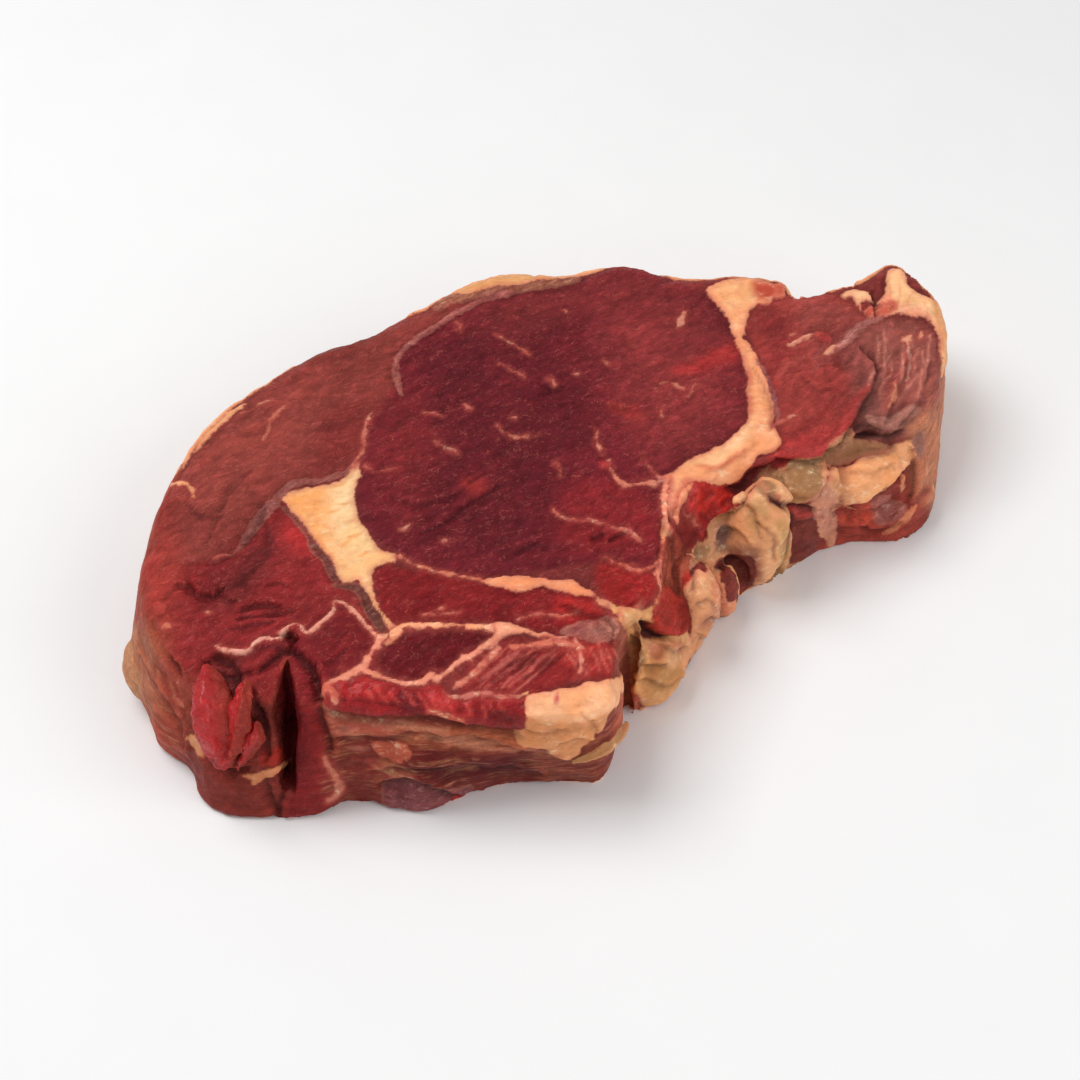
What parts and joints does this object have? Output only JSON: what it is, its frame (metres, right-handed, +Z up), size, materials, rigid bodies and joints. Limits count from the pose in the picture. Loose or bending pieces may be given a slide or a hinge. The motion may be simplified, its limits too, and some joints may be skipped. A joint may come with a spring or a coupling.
{
  "type": "raw ribeye steak",
  "caption": "Thick raw beef steak cut across the rib, with a round eye muscle, fat seams and a ragged fatty side, lying on its flat cut face.",
  "frame": {"origin": "on the flat underside, where the steak rests, near the middle of its outline", "axes": "+Z up through the thickness, +X along the steak's length from the blade end to the thin tail, +Y towards the fat cap"},
  "size_m": [0.1962, 0.1446, 0.0362],
  "materials": {
    "raw_beef": "moist, satin, with cream fat seams"
  },
  "bodies": {
    "root": {"steak": "raw_beef"}
  },
  "joints": []
}
